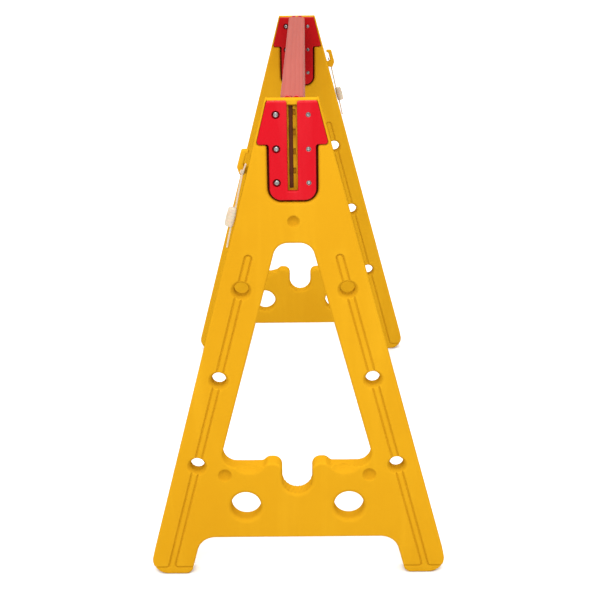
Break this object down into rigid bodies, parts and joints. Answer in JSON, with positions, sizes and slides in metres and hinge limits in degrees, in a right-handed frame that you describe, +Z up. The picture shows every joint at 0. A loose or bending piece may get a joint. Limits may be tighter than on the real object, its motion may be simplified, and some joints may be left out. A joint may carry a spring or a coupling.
{
  "type": "folding sawhorse",
  "caption": "Folding sawhorse: moulded A-frames hinged to the ends of a board on edge, each swinging flat against the board for storage.",
  "frame": {"origin": "on the floor, under the middle of the beam", "axes": "+Z up, Y along the beam with the front frame at -Y, X across the frames"},
  "size_m": [0.5284, 1.1204, 0.8665],
  "materials": {
    "timber": "red-stained softwood board, satin, grain along its length",
    "frame_plastic": "yellow blow-moulded polyethylene, satin with a fine texture",
    "bracket_plastic": "red injection-moulded plastic, semi-gloss",
    "steel": "zinc-plated steel",
    "leaf_paint": "dark red painted steel",
    "nylon": "natural nylon",
    "strap_plastic": "translucent flexible plastic"
  },
  "bodies": {
    "beam": {"beam": "timber", "front_hinge_pin": "steel", "front_pin_keeper": "steel", "front_keeper_screws": "steel", "rear_hinge_pin": "steel", "rear_pin_keeper": "steel", "rear_keeper_screws": "steel"},
    "front_end": {"front_frame": "frame_plastic", "front_outer_bracket": "bracket_plastic", "front_inner_bracket": "bracket_plastic", "front_outer_screws": "steel", "front_outer_inserts": "steel", "front_inner_screws": "steel", "front_inner_inserts": "steel", "front_hinge_leaf": "leaf_paint", "front_thrust_washers": "nylon", "front_stay_hook": "frame_plastic", "front_stay_strap": "strap_plastic", "front_strap_grip": "strap_plastic"},
    "rear_end": {"rear_frame": "frame_plastic", "rear_outer_bracket": "bracket_plastic", "rear_inner_bracket": "bracket_plastic", "rear_outer_screws": "steel", "rear_outer_inserts": "steel", "rear_inner_screws": "steel", "rear_inner_inserts": "steel", "rear_hinge_leaf": "leaf_paint", "rear_thrust_washers": "nylon", "rear_stay_hook": "frame_plastic", "rear_stay_strap": "strap_plastic", "rear_strap_grip": "strap_plastic"}
  },
  "joints": [
    {"name": "front_frame_fold", "type": "hinge", "parent": "beam", "child": "front_end", "pos_m": [0, -0.5, 0.795], "axis": [0, 0, -1], "range_deg": [0, 90]},
    {"name": "rear_frame_fold", "type": "hinge", "parent": "beam", "child": "rear_end", "pos_m": [0, 0.5, 0.795], "axis": [0, 0, -1], "range_deg": [0, 90]}
  ]
}
